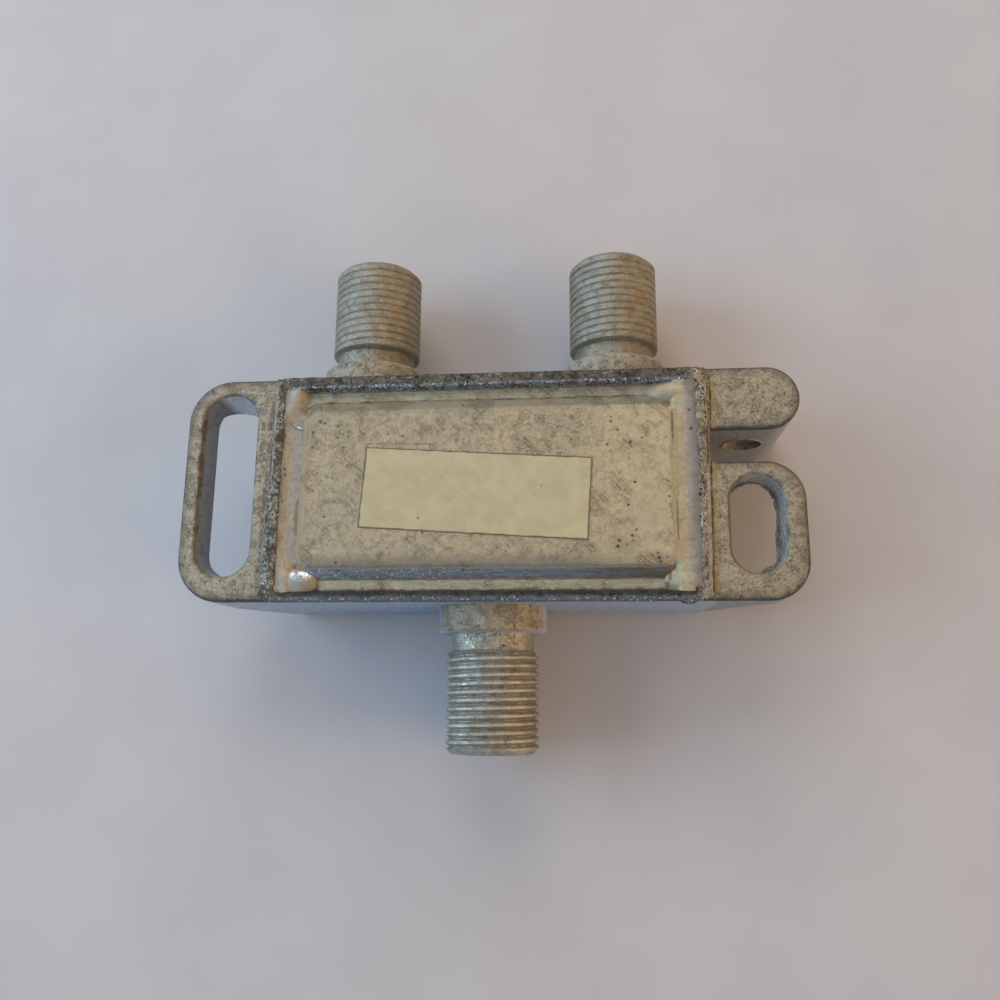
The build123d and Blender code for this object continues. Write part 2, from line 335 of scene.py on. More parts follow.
# fine scratches that run along one direction, broken up into short lengths
def makeScratchMarks():
    given, out = startGroup("scratchMarks", {"Vector": "Point", "Float": "Angle Amount"}, {"Float": "Mask"})
    point = given["Point"]
    turned = addNode("VectorRotate", {"Vector": point, "Angle": given["Angle"]},
                     {"rotation_type": "Z_AXIS"})
    thin = vectorMaths("MULTIPLY", turned, (160.0, 5000.0, 5000.0))
    wave = noise(thin, 1.0, 1.0, 0.4)
    line = fade(absolute(minus(wave, 0.5)), 0.022, 0.004)
    area = cloud(point, 420.0, 2.0, 0.5, 0.62)
    return finishGroup(out, {"Mask": times(line, area, given["Amount"])})


# one scribed line from a start to an end, both on the flat of the part
def makeScribeLine():
    given, out = startGroup("scribeLine", {"Vector": "Point Start End", "Float": "Width"}, {"Float": "Mask"})
    point = given["Point"]
    flat = vectorMaths("MULTIPLY", point, (1.0, 1.0, 0.0))
    shake = noise(point, 900.0, 2.0)
    fromStart = vectorMaths("SUBTRACT", flat, given["Start"])
    run = vectorMaths("SUBTRACT", given["End"], given["Start"])
    along = vectorMaths("DOT_PRODUCT", fromStart, run, output=1)
    runSquared = vectorMaths("DOT_PRODUCT", run, run, output=1)
    share = maths("DIVIDE", along, runSquared, True)
    nearest = addNode("VectorMath", {0: run, "Scale": share}, {"operation": "SCALE"})
    away = vectorMaths("SUBTRACT", fromStart, nearest)
    distance = vectorMaths("LENGTH", away, output=1)
    swing = times(minus(shake, 0.5), times(given["Width"], 2.5))
    distance = absolute(plus(distance, swing))
    return finishGroup(out, {"Mask": fade(distance, given["Width"], 0.0)})


# a ragged patch with a soft or hard edge, given by its middle and its half sizes
def makeStainPatch():
    given, out = startGroup("stainPatch", {"Vector": "Point Middle Reach", "Float": "Ragged Softness Grain"},
                            {"Float": "Mask"})
    point = given["Point"]
    away = vectorMaths("SUBTRACT", point, given["Middle"])
    scaled = vectorMaths("DIVIDE", away, given["Reach"])
    distance = vectorMaths("LENGTH", scaled, output=1)
    shake = minus(noise(point, given["Grain"], 3.0), 0.5)
    distance = plus(distance, times(shake, given["Ragged"]))
    inner = minus(1.0, given["Softness"])
    return finishGroup(out, {"Mask": fade(distance, 1.0, inner)})


# how far a point lies outside (or, below zero, inside) a rounded rectangle seen from above
def makePlanDistance():
    given, out = startGroup("planDistance", {"Vector": "Point Middle Half", "Float": "Corner"},
                            {"Float": "Distance"})
    point = given["Point"]
    away = vectorMaths("SUBTRACT", point, given["Middle"])
    away = vectorMaths("ABSOLUTE", away)
    beyond = splitVector(vectorMaths("SUBTRACT", away, given["Half"]))
    overX = plus(beyond[0], given["Corner"])
    overY = plus(beyond[1], given["Corner"])
    inside = smaller(larger(overX, overY), 0.0)
    corner = addNode("CombineXYZ", {"X": larger(overX, 0.0), "Y": larger(overY, 0.0)})
    length = vectorMaths("LENGTH", corner, output=1)
    distance = minus(plus(length, inside), given["Corner"])
    return finishGroup(out, {"Distance": distance})


castSkin = makeCastSkin()
pitMarks = makePitMarks()
scratchMarks = makeScratchMarks()
scribeLine = makeScribeLine()
stainPatch = makeStainPatch()
planDistance = makePlanDistance()


def newMaterial(name):
    material = bpy.data.materials.new(name)
    material.use_nodes = True
    coordinates = material.node_tree.nodes.new("ShaderNodeTexCoord")
    return material, coordinates.outputs["Object"]


def finishShader(material, color, roughness, height=None, depth=0.02 * mm, metallic=0.0):
    shader = material.node_tree.nodes["Principled BSDF"]
    setInputs(shader, {"Base Color": color, "Roughness": roughness, "Metallic": metallic})
    if height is not None:
        bump = addNode("Bump", {"Height": height, "Distance": depth, "Strength": 1.0})
        setInputs(shader, {"Normal": bump})
    return material


# masks and surfaces made with the groups above; places are in millimetres
def castSurface(point, light, dark, grain, mottling=0.5, curls=0.7):
    return useGroup(castSkin, point, {"Light": light, "Dark": dark, "Grain": grain, "Mottling": mottling,
                                      "Curls": curls})


def pitMask(point, scale, share, size):
    return useGroup(pitMarks, point, {"Scale": scale, "Share": share, "Size": size})["Mask"]


def scratchMask(point, angle, amount):
    return useGroup(scratchMarks, point, {"Angle": angle, "Amount": amount})["Mask"]


def inMetres(place):
    return [value * mm for value in (*place, 0.0)[:3]]


def lineMask(point, start, end, width):
    return useGroup(scribeLine, point, {"Start": inMetres(start), "End": inMetres(end),
                                        "Width": width * mm})["Mask"]


def stainMask(point, middle, reach, ragged, softness, grain=1200.0):
    return useGroup(stainPatch, point, {"Middle": inMetres(middle), "Reach": inMetres(reach),
                                        "Ragged": ragged, "Softness": softness, "Grain": grain})["Mask"]


def planEdge(point, middle, half, corner):
    return useGroup(planDistance, point, {"Middle": inMetres(middle), "Half": inMetres(half),
                                          "Corner": corner * mm})["Distance"]


def coverEdge(point):
    return planEdge(point, (0.0, coverShift), coverHalf, 0.6)


def nearestEdge(point, outlines):
    return reduce(smaller, [planEdge(point, *outline[:3]) for outline in outlines])


# die-cast zinc of the case, ears and block
def makeZincCasting():
    material, point = newMaterial("dieCastZinc")
    skin = castSurface(point, tone(170, 158, 136), tone(84, 73, 56), 4000.0, 0.55, 0.55)
    facing = splitVector(point.node.outputs["Normal"])
    x, y, z = splitVector(point)
    wall = fade(absolute(facing[2]), 0.5, 0.15)
    # painted cool light: steep walls are tinted blue-grey for the cool light that falls on them from the
    # front and left
    color = tint(skin["Color"], wall, (176, 196, 218), 0.7)
    slots = nearestEdge(point, slotGrime)
    slotWall = times(ramp(slots, 0.3, 0.1), wall)
    # painted reflected light: the slot walls are lightened to stand in for the light they reflect
    color = tint(color, slotWall, (212, 214, 216), 0.8)
    inShade = times(ramp(slots, 0.55, 0.15), fade(facing[0], 0.25, 0.6))
    # painted shade: the walls of the block and right ear, beside the body, are darkened to a neutral grey
    blockWallShade = times(wall, ramp(x, 21.9, 22.4), minus(1.0, slotWall))
    color = tint(color, blockWallShade, (138, 136, 132), 0.7)
    # grime darkens the worn outer edges of ears, block and rim
    shake = wobble(1.3, point, 1400.0, 4.0, 0.65)
    outline = nearestEdge(point, castOutlines)
    broadGrime = ramp(plus(outline, shake), -1.3, 0.2)
    thinGrime = ramp(plus(outline, times(shake, 0.4)), -0.38, -0.1)
    onTop = ramp(z, 13.0, 13.4)
    color = tint(color, times(broadGrime, 0.75, onTop), (82, 72, 56))
    color = tint(color, times(thinGrime, 0.75, onTop), (56, 56, 54))
    dull = broadGrime
    for middle, half, corner, width, amount, shade in slotGrime:
        distance = plus(planEdge(point, middle, half, corner), times(shake, 0.35))
        ring = fade(distance, width * mm, 0.05 * mm)
        ring = times(ring, fade(facing[2], 0.2, 0.6))
        broken = cloud(point, 600.0, 3.0, 0.35, 0.6, 0.25, 1.0)
        color = tint(color, times(ring, broken), shade, amount)
        dull = larger(dull, ring)
    color = tint(color, inShade, (92, 89, 84), 0.85)
    dull = larger(dull, inShade)
    pits = pitMask(point, 1500.0, 0.12, 0.2)
    edgePits = pitMask(point, 2400.0, 0.6, 0.34)
    edgePits = times(edgePits, onTop, fade(broadGrime, 0.1, 0.6))
    pits = larger(pits, edgePits)
    color = tint(color, pits, (50, 43, 32), 0.8)
    # old flux that crept out of the seam beside the rim
    for start, end, width, amount, shade in rimStains:
        stain = lineMask(point, start, end, width)
        broken = cloud(point, 800.0, 3.0, 0.36, 0.56, 1.0 - amount, 1.0)
        color = tint(color, times(stain, onTop, broken), shade)
    height = minus(skin["Height"], pits)
    roughness = minus(skin["Roughness"], times(wall, 0.12))
    roughness = minus(roughness, times(slotWall, 0.1))
    metallic = between(wall, 0.55, 0.8)
    metallic = times(metallic, between(dull, 1.0, 0.4))
    return finishShader(material, color, roughness, height, 0.035 * mm, metallic)


castOutlines = [                  # middle, half size and corner of each outline seen from above
    ((0.0, 0.0), (21.8, 11.55), 0.3),
    ((-21.1, 0.0), (10.0, 11.55), 4.5),
    ((20.85, -4.8), (10.0, 6.75), 3.8),
    ((20.85, 8.35), (10.0, 3.2), 3.2),
]
slotGrime = [                     # the same for the slots, then width, strength and colour
    ((-26.5, 0.45), (2.75, 9.45), 2.75, 0.5, 0.55, (58, 56, 50)),
    ((26.175, -4.2), (2.525, 4.775), 2.525, 0.4, 0.5, (68, 62, 50)),
]
rimStains = [                     # start, end, width, how broken, colour
    ((22.5, 10.0), (21.95, -10.2), 0.45, 0.95, (146, 126, 76)),
    ((22.22, 10.7), (21.7, -10.8), 0.14, 0.25, (66, 52, 24)),
    ((-22.1, 9.5), (-22.6, -10.5), 0.35, 0.95, (104, 92, 74)),
    ((-29.4, 7.4), (-29.45, -4.5), 0.28, 0.9, (66, 58, 44)),
]


# tinned steel of the pressed cover
def makeTinnedSteel():
    material, point = newMaterial("tinnedSteel")
    skin = castSurface(point, tone(180, 163, 132), tone(98, 86, 62), 3800.0, 0.46, 0.5)
    x, y, z = splitVector(point)
    color = skin["Color"]
    warmth = cloud(point, 120.0, 2.0, 0.35, 0.65)
    color = tint(color, warmth, (150, 140, 122), 0.4)
    # the slope round the panel is worn down to greyer metal, and dirt lies along its foot
    aboveFlange = ramp(z, 13.14, 13.3)
    slope = times(aboveFlange, ramp(z, 14.02, 13.8))
    frontSlope = times(slope, ramp(y, -7.0, -8.4))
    color = tint(color, slope, (146, 140, 122), 0.5)
    # painted cool reflection: the front slope is tinted blue
    color = tint(color, frontSlope, (138, 146, 156), 0.75)
    # painted glints: bright blue-white sparkles on the front slope, most on its left
    glints = times(cloud(point, 4200.0, 2.0, 0.55, 0.64), frontSlope)
    glints = times(glints, fade(x, 6.0 * mm, -12.0 * mm, 0.1, 0.8))
    color = tint(color, glints, (200, 208, 220))
    # painted warm reflection and some dirt: the front slope turns browner towards the right
    frontSlopeRight = times(frontSlope, ramp(x, 6.0, 15.0))
    color = tint(color, frontSlopeRight, (112, 102, 88), 0.8)
    leftSlope = times(aboveFlange, ramp(x, -17.75, -18.1))
    color = tint(color, leftSlope, (150, 122, 84), 0.9)
    # painted shade: the back slope is darkened
    backSlope = times(aboveFlange, ramp(y, 7.2, 7.9))
    color = tint(color, backSlope, (124, 118, 100), 0.65)
    # painted shade: the panel darkens softly along its front edge where it rounds down
    frontEdgeShade = times(ramp(z, 13.9, 14.0), ramp(y, -6.5, -7.9))
    color = tint(color, frontEdgeShade, (112, 104, 92), 0.7)
    clean = times(ramp(x, 8.0, 15.0), ramp(z, 14.0, 14.09))
    color = tint(color, clean, (206, 186, 148), 0.3)
    ragged = wobble(0.7, point, 1500.0, 4.0)
    height = plus(z, ragged)
    foot = times(ramp(height, 13.06, 13.16), ramp(height, 13.34, 13.2))
    footBreak = cloud(point, 700.0, 3.0, 0.42, 0.58, 0.1, 0.9)
    back = fade(y, -2.0 * mm, 2.0 * mm, 0.45, 1.0)
    foot = times(foot, footBreak, back)
    color = tint(color, foot, (78, 68, 48))
    ledge = ramp(z, 13.13, 13.11)
    color = tint(color, ledge, (170, 166, 144), 0.6)
    border = coverEdge(point)
    seam = ramp(plus(border, ragged), -0.55, -0.2)
    seam = times(seam, ramp(y, -8.0, -9.0))
    color = tint(color, seam, (70, 64, 46), 0.85)
    drawn = vectorMaths("MULTIPLY", point, (0.22, 1.0, 1.0))
    streaks = fade(noise(drawn, 2400.0, 4.0, 0.6), 0.42, 0.6)
    streaks = times(streaks, larger(ledge, frontSlope))
    color = tint(color, streaks, (112, 106, 84), 0.25)
    marks = [scratchMask(point, *look) for look in ((0.7, 0.85), (0.95, 0.75), (2.2, 0.7), (2.9, 0.5))]
    marks = reduce(larger, marks + [times(lineMask(point, *scribe), 0.8) for scribe in coverScribes])
    color = tint(color, marks, (92, 80, 58))
    specks = pitMask(point, 1300.0, 0.3, 0.2)
    crowd = cloud(point, 260.0, 3.0, 0.42, 0.62, 0.15, 1.0)
    spots = pitMask(point, 420.0, 0.22, 0.09)
    dirt = larger(times(specks, crowd), times(spots, 0.9))
    dense = pitMask(point, 1900.0, 0.8, 0.42)
    for middle, reach in dirtPatches:
        patch = stainMask(point, middle, reach, 1.2, 0.8, 1500.0)
        dirt = larger(dirt, times(dense, patch))
        color = tint(color, patch, (108, 96, 74), 0.3)
    color = tint(color, dirt, (58, 46, 30))
    height = minus(skin["Height"], times(marks, 1.4))
    height = plus(height, times(streaks, 2.0))
    roughness = between(frontSlope, 0.5, 0.34)
    metallic = between(frontSlope, 0.35, 0.8)
    metallic = times(metallic, between(leftSlope, 1.0, 0.1))
    return finishShader(material, color, roughness, height, 0.015 * mm, metallic)


dirtPatches = [                   # middle and reach of the places where dirt gathers
    ((-16.6, 6.9, 14.1), (1.3, 0.8, 1.0)),
    ((-17.6, 5.0, 14.1), (0.5, 2.6, 1.0)),
    ((-14.6, 5.2, 14.1), (1.3, 2.2, 1.0)),
    ((13.6, -6.2, 14.1), (2.4, 1.4, 1.0)),
    ((16.6, -7.4, 14.1), (1.4, 0.9, 1.0)),
]
coverScribes = [
    ((-11.3, 6.0), (-9.4, 6.95), 0.05),
    ((-9.3, 6.7), (-8.6, 4.9), 0.05),
    ((-12.75, 6.9), (-12.85, 4.4), 0.05),
    ((-12.55, 6.8), (-12.65, 4.4), 0.05),
    ((-12.7, 4.3), (-5.2, 4.15), 0.05),
    ((4.0, 7.6), (5.8, 6.3), 0.045),
    ((5.8, 6.3), (9.3, 5.0), 0.035),
    ((7.6, 7.1), (10.0, 5.4), 0.045),
    ((-1.6, 8.6), (-0.2, 7.0), 0.045),
    ((15.6, 8.3), (17.5, 6.7), 0.05),
    ((-18.15, 7.3), (-17.95, 8.3), 0.12),
    ((-17.95, 8.3), (-17.1, 8.5), 0.12),
    ((-17.1, 8.5), (-16.9, 7.9), 0.09),
    ((-18.2, 6.6), (-18.3, 4.3), 0.1),
]


# solder: smooth, with a painted warm reflection on one side of its hollow and a painted cool grey reflection
# on the other
def makeSolder():
    material, point = newMaterial("oldSolder")
    x, y, z = splitVector(point)
    shake = minus(noise(point, 500.0, 3.0, 0.5, 0.6), 0.5)
    away = plus(absolute(x), times(shake, 1.1 * mm))
    share = ramp(away, 17.9, 21.3)
    # bands across the bead from the panel to the rim: painted warm and cool reflections on the two sides of
    # its hollow, darker at the rim's edge
    leftTint = colorRamp(share, [(0.0, (146, 138, 122)), (0.25, (156, 148, 136)), (0.6, (168, 162, 150)),
                                 (0.75, (166, 158, 144)), (0.88, (150, 142, 126)), (1.0, (112, 96, 76))])
    rightTint = colorRamp(share, [(0.0, (164, 150, 122)), (0.25, (178, 162, 132)), (0.5, (172, 160, 136)),
                                  (0.66, (150, 142, 130)), (0.8, (132, 124, 116)), (1.0, (108, 98, 86))])
    onRight = maths("GREATER_THAN", x, 0.0)
    color = mixColor(onRight, leftTint, rightTint)
    haze = cloud(point, 1100.0, 3.0, 0.4, 0.7)
    color = tint(color, haze, (122, 112, 96), 0.22)
    few = pitMask(point, 900.0, 0.08, 0.14)
    many = pitMask(point, 1500.0, 0.5, 0.3)
    nearRim = ramp(plus(away, times(onRight, 0.35 * mm)), 20.2, 20.6)
    pits = larger(few, times(many, nearRim))
    color = tint(color, pits, (48, 38, 26))
    for middle, reach, shade in fluxPatches:
        stain = stainMask(point, middle, reach, 1.6, 0.3, 1500.0)
        color = tint(color, stain, shade, 0.8)
    # glossy spot on the front-left lobe, with a painted highlight: near-white colour where it catches the
    # light
    glossAndPaintedHighlight = stainMask(point, (-18.2, -8.9, 13.9), (1.3, 0.8, 2.0), 0.3, 0.4)
    color = tint(color, glossAndPaintedHighlight, (206, 206, 204))
    skin = castSurface(point, color, tone(104, 90, 68), 3200.0, 0.3, 0.3)
    roughness = minus(between(haze, 0.5, 0.62), times(glossAndPaintedHighlight, 0.34))
    height = minus(times(skin["Height"], 0.4), times(pits, 0.6))
    return finishShader(material, skin["Color"], roughness, height, 0.02 * mm,
                        between(glossAndPaintedHighlight, 0.2, 0.9))


fluxPatches = [                   # middle, reach and colour
    ((-18.95, -3.2, 13.6), (0.34, 2.5, 2.0), (134, 100, 46)),
    ((-18.75, 2.1, 13.6), (0.25, 0.6, 2.0), (108, 94, 56)),
    ((-18.85, 5.6, 13.6), (0.12, 1.6, 2.0), (84, 76, 60)),
    ((-20.8, 5.2, 13.9), (0.3, 1.6, 2.0), (70, 54, 34)),
    ((-20.9, -0.6, 13.9), (0.2, 0.8, 2.0), (92, 66, 38)),
    ((17.75, -9.1, 13.5), (0.22, 0.75, 2.0), (108, 80, 40)),
    ((17.4, -10.0, 13.5), (0.4, 0.3, 2.0), (98, 76, 44)),
    ((18.4, 5.6, 13.9), (0.12, 1.8, 2.0), (80, 68, 46)),
    ((18.6, -4.0, 13.9), (0.12, 2.4, 2.0), (118, 94, 54)),
    ((20.2, 10.1, 13.9), (0.8, 1.2, 2.0), (120, 112, 114)),
    ((17.9, 10.0, 13.5), (0.9, 0.5, 2.0), (176, 150, 122)),
]


# clean solder of a last touch of the iron
def makeBrightSolder():
    material, point = newMaterial("brightSolder")
    haze = cloud(point, 1500.0, 3.0, 0.4, 0.7)
    color = mixColor(haze, tone(206, 206, 204), tone(150, 144, 132))
    return finishShader(material, color, between(haze, 0.16, 0.34), haze, 0.006 * mm, 0.85)


# porous crust where solder and flux burnt onto the rim, darkest on the long sides
def makeRimCrust():
    material, point = newMaterial("burntRimCrust")
    x, y, z = splitVector(point)
    ends = ramp(plus(absolute(x), times(noise(point, 700.0), 1.2 * mm)), 20.6, 21.3)
    back = maths("GREATER_THAN", y, 0.0)
    sides = mixColor(back, tone(92, 92, 90), tone(112, 104, 92))
    endTone = mixColor(maths("GREATER_THAN", x, 0.0), tone(116, 106, 90), tone(162, 148, 126))
    light = mixColor(ends, sides, endTone)
    darkTone = mixColor(ends, tone(40, 40, 38), tone(66, 54, 42))
    ragged = wobble(0.5, point, 900.0, 3.0)
    low = ramp(plus(z, ragged), 13.45, 13.25)
    inside = ramp(coverEdge(point), 0.05, -0.1)
    low = times(low, inside)
    light = tint(light, low, (158, 150, 130))
    darkTone = tint(darkTone, low, (104, 96, 76))
    skin = castSurface(point, light, darkTone, 2600.0, 0.8, 0.5)
    pits = pitMask(point, 1500.0, 0.42, 0.32)
    pitRimGlints = pitMask(point, 1500.0, 0.42, 0.62)
    pits = times(pits, minus(1.0, low))
    grime = cloud(point, 900.0, 3.0, 0.5, 0.64)
    grime = times(grime, minus(1.0, low))
    color = tint(skin["Color"], grime, (66, 54, 42), 0.5)
    # painted glints: bright rings round the pits
    color = tint(color, times(pitRimGlints, ends), (196, 190, 176), 0.45)
    color = tint(color, pits, (30, 24, 18), 0.95)
    holes = pitMask(point, 2500.0, 0.8, 0.34)
    holeRimGlints = pitMask(point, 2500.0, 0.8, 0.56)
    patchy = times(ends, cloud(point, 500.0, 2.0, 0.34, 0.5))
    # painted glints: bright rings round the small holes, in patches at the ends
    color = tint(color, times(holeRimGlints, patchy), (206, 200, 190), 0.6)
    color = tint(color, times(holes, patchy), (26, 22, 18))
    # painted glints on bare solder grains, with a painted cool reflection, along the inner foot of the long
    # sides
    foot = ramp(coverEdge(point), 0.3, 0.0)
    foot = times(foot, back, minus(1.0, ends), minus(1.0, low))
    patches = cloud(point, 500.0, 2.0, 0.36, 0.56)
    color = tint(color, times(foot, patches), (124, 130, 140))
    glintingGrains = times(cloud(point, 4600.0, 2.0, 0.55, 0.64), foot)
    color = tint(color, glintingGrains, (196, 204, 214))
    # the front rim is sooty beside the cover, and bare outside with a painted bluish reflection and painted
    # glints
    frontRim = times(minus(1.0, back), minus(1.0, ends))
    rimAway = plus(coverEdge(point), ragged)
    sooty = times(frontRim, ramp(rimAway, 0.45, 0.1))
    color = tint(color, sooty, (44, 40, 30), 0.75)
    outer = times(frontRim, ramp(rimAway, 0.3, 0.6))
    color = tint(color, outer, (112, 124, 136), 0.4)
    outerGlints = times(cloud(point, 4200.0, 2.0, 0.58, 0.66), outer)
    color = tint(color, outerGlints, (176, 188, 202), 0.7)
    gaps = times(fade(noise(point, 2800.0, 2.0, 0.5, 0.5), 0.44, 0.38), foot)
    color = tint(color, gaps, (42, 40, 38), 0.8)
    height = minus(skin["Height"], times(pits, 1.6))
    height = plus(height, times(glintingGrains, 1.5))
    roughness = between(larger(ends, low), 0.3, 0.48)
    return finishShader(material, color, roughness, height, 0.06 * mm, between(low, 0.65, 0.35))


# cut thread: dark grooves, crests worn bright, plain cast neck
def makeThreadedMetal():
    material, point = newMaterial("cutThread")
    threadMap = material.node_tree.nodes.new("ShaderNodeAttribute")
    threadMap.attribute_name = "threadMap"
    crest, threaded, tarnish = splitVector(threadMap.outputs["Color"])
    skin = castSurface(point, tone(184, 180, 170), tone(94, 85, 68), 3600.0, 0.5, 0.5)
    tarnished = tint(skin["Color"], tarnish, (110, 96, 68), 0.55)
    groove = times(fade(crest, 0.35, 0.0), threaded)
    color = tint(tarnished, groove, (84, 76, 60), 0.12)
    shine = times(fade(crest, 0.5, 0.95), threaded)
    worn = times(shine, cloud(point, 900.0, 3.0, 0.35, 0.65))
    color = tint(color, worn, (188, 184, 172), 0.15)
    stained = times(cloud(point, 420.0, 3.0, 0.5, 0.66), threaded)
    color = tint(color, stained, (132, 108, 70), 0.35)
    pits = pitMask(point, 1300.0, 0.14, 0.2)
    color = tint(color, pits, (40, 32, 24), 0.8)
    roughness = between(threaded, 0.4, 0.36)
    metallic = between(threaded, 0.7, 0.62)
    return finishShader(material, color, roughness, skin["Height"], 0.03 * mm, metallic)


# clear film gone yellow, with dirt along its edges
def makeSticker():
    material, point = newMaterial("yellowedFilm")
    low, high = labelShape["size"]
    moved = vectorMaths("SUBTRACT", point, labelShape["middle"])
    turned = addNode("VectorRotate", {"Vector": moved, "Angle": -labelShape["turn"]},
                     {"rotation_type": "Z_AXIS"})
    place = splitVector(turned)
    edgeX = minus(low / 2, absolute(place[0]))
    edgeY = minus(high / 2, absolute(place[1]))
    shake = wobble(0.25, point, 700.0, 3.0)
    border = plus(smaller(edgeX, edgeY), shake)
    dirt = ramp(border, 0.2, 0.06)
    haze = cloud(point, 500.0, 3.0, 0.35, 0.65)
    color = mixColor(haze, tone(196, 181, 142), tone(186, 171, 132))
    lines = scratchMask(point, 0.8, 0.35)
    color = tint(color, lines, (120, 104, 70))
    specks = pitMask(point, 900.0, 0.12, 0.14)
    color = tint(color, specks, (96, 80, 50), 0.6)
    color = tint(color, dirt, (76, 64, 38), 0.9)
    alpha = between(dirt, 0.85, 0.95)
    setInputs(material.node_tree.nodes["Principled BSDF"],
              {"Alpha": alpha, "Coat Weight": 0.4, "Coat Roughness": 0.2})
    return finishShader(material, color, 0.38, noise(point, 600.0, 2.0), 0.02 * mm, 0.0)


labelShape = {
    "size": (22.7 * mm, 8.25 * mm),
    "middle": (-1.0 * mm, -0.9 * mm, labelTop),
    "turn": radians(-3.7),
}
zincCasting = makeZincCasting()
tinnedSteel = makeTinnedSteel()
oldSolder = makeSolder()
rimCrust = makeRimCrust()
brightSolder = makeBrightSolder()
cutThread = makeThreadedMetal()
yellowedFilm = makeSticker()
print("materials made")


def dress(piece, material):
    piece.data.materials.clear()
    piece.data.materials.append(material)


# ports: a cut 3/8-32 thread on a cast barrel
threadShape = {
    "crestRadius": 4.72 * mm,
    "pitch": 0.794 * mm,
    "rootFlat": 0.06 * mm,
    "steps": 96,
}
barrelShape = {
    "inside": -2.0 * mm,          # from the case's outer wall
    "neckRadius": 4.175 * mm,
    "neckLength": 1.7 * mm,
    "startChamfer": 0.3 * mm,
    "mouthChamfer": 0.55 * mm,
    "boreRadius": 3.3 * mm,
    "lipRadius": 2.75 * mm,
    "lipLength": 0.7 * mm,
}


def makeThreadRod(name, start, end, depth, crestFlat):
    shape = threadShape
    crest, pitch = shape["crestRadius"], shape["pitch"]
    root = crest - depth
    flank = (pitch - crestFlat - shape["rootFlat"]) / 2
    bottom = start - 2 * pitch
    foot = bottom + shape["rootFlat"]
    rod = drawChain(name, [
        (root, 0, bottom), (root, 0, foot), (crest, 0, foot + flank),
        (crest, 0, foot + flank + crestFlat), (root, 0, bottom + pitch),
    ])
    screw = rod.modifiers.new("thread", "SCREW")
    screw.axis = "Z"
    screw.angle = 2 * pi
    screw.screw_offset = pitch
    screw.iterations = int((end - start) / pitch) + 4
    screw.steps = shape["steps"]
    screw.render_steps = shape["steps"]
    screw.use_smooth_shade = False
    applyAll(rod)
    cleanMesh(rod, 0.002 * mm)
    editMesh(rod)
    for height in (start, end):
        selectEverything()
        bpy.ops.mesh.bisect(plane_co=(0, 0, height), plane_no=(0, 0, 1), use_fill=True,
                            clear_inner=height == start, clear_outer=height == end, threshold=0.0001 * mm)
    leaveEdit()
    cleanMesh(rod)
    return rod


def makeBarrelEnvelope(name, boss, mouth):
    shape = barrelShape
    bore, neck, lip = shape["boreRadius"], shape["neckRadius"], shape["lipRadius"]
    crest = threadShape["crestRadius"] + 0.01 * mm
    inside = shape["inside"]
    threadStart = boss + shape["neckLength"]
    chamfer = shape["mouthChamfer"]
    step = mouth - shape["lipLength"]
    envelope = drawChain(name, [
        (bore, 0, inside), (neck, 0, inside), (neck, 0, threadStart),
        (crest, 0, threadStart + shape["startChamfer"]), (crest, 0, mouth - chamfer),
        (crest - chamfer, 0, mouth), (lip, 0, mouth), (lip, 0, step), (bore, 0, step), (bore, 0, inside),
    ])
    editMesh(envelope)
    selectEverything()
    bpy.ops.mesh.spin(steps=threadShape["steps"], angle=2 * pi, center=(0, 0, 0), axis=(0, 0, 1))
    leaveEdit()
    cleanMesh(envelope)
    return envelope


def makeBarrel(name, port, boss, depth, crestFlat):
    low, high = (Vector(corner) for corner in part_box(port))
    middle = (low + high) / 2
    side = 1 if middle.y > 0 else -1
    mouth = (high.y if side > 0 else -low.y) - caseHalfWidth
    barrel = makeBarrelEnvelope(name, boss, mouth)
    rod = makeThreadRod(name + "Rod", barrelShape["inside"] - 0.5 * mm, mouth + 0.5 * mm, depth, crestFlat)
    cut = barrel.modifiers.new("thread", "BOOLEAN")
    cut.operation = "INTERSECT"
    cut.solver = "EXACT"
    cut.object = rod
    applyAll(barrel)
    bpy.data.objects.remove(rod)
    cleanMesh(barrel, 0.0005 * mm)
    markThread(barrel, boss + barrelShape["neckLength"], depth, 0.0 if side < 0 else 1.0)
    wrinkle(barrel, 0.6 * mm, 0.03 * mm)
    for vertex in barrel.data.vertices:
        vertex.co.z = min(vertex.co.z, mouth)
    smoothByAngle(barrel, 32)
    turn = Matrix.Rotation(radians(-90 * side), 4, "X")
    barrel.matrix_world = Matrix.Translation((middle.x, side * caseHalfWidth, middle.z)) @ turn
    applyPlace(barrel)
    dress(barrel, cutThread)
    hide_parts(port)
    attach(barrel, "case")


# keeps, for the material, how near each point is to the crest and whether it is on the thread
def markThread(barrel, threadStart, depth, tarnish):
    root = threadShape["crestRadius"] - depth
    field = barrel.data.attributes.new("threadMap", "FLOAT_VECTOR", "POINT")
    for vertex, value in zip(barrel.data.vertices, field.data):
        radius = hypot(vertex.co.x, vertex.co.y)
        height = (radius - root) / depth
        onThread = vertex.co.z > threadStart - 0.02 * mm and radius > 3.8 * mm
        value.vector = (min(max(height, 0.0), 1.0), 1.0 if onThread else 0.0, tarnish if onThread else 0.0)


ports = [                         # node, length of the boss, depth of the thread and width of its crest
    ("input_port", 2.7 * mm, 0.42 * mm, 0.22 * mm),
    ("output_left_port", 2.6 * mm, 0.09 * mm, 0.5 * mm),
    ("output_right_port", 2.6 * mm, 0.11 * mm, 0.48 * mm),
]
for port, boss, depth, crestFlat in ports:
    makeBarrel(port.replace("_port", "ThreadedBarrel").replace("output_", "output"), port, boss, depth,
               crestFlat)
print("threaded barrels made")


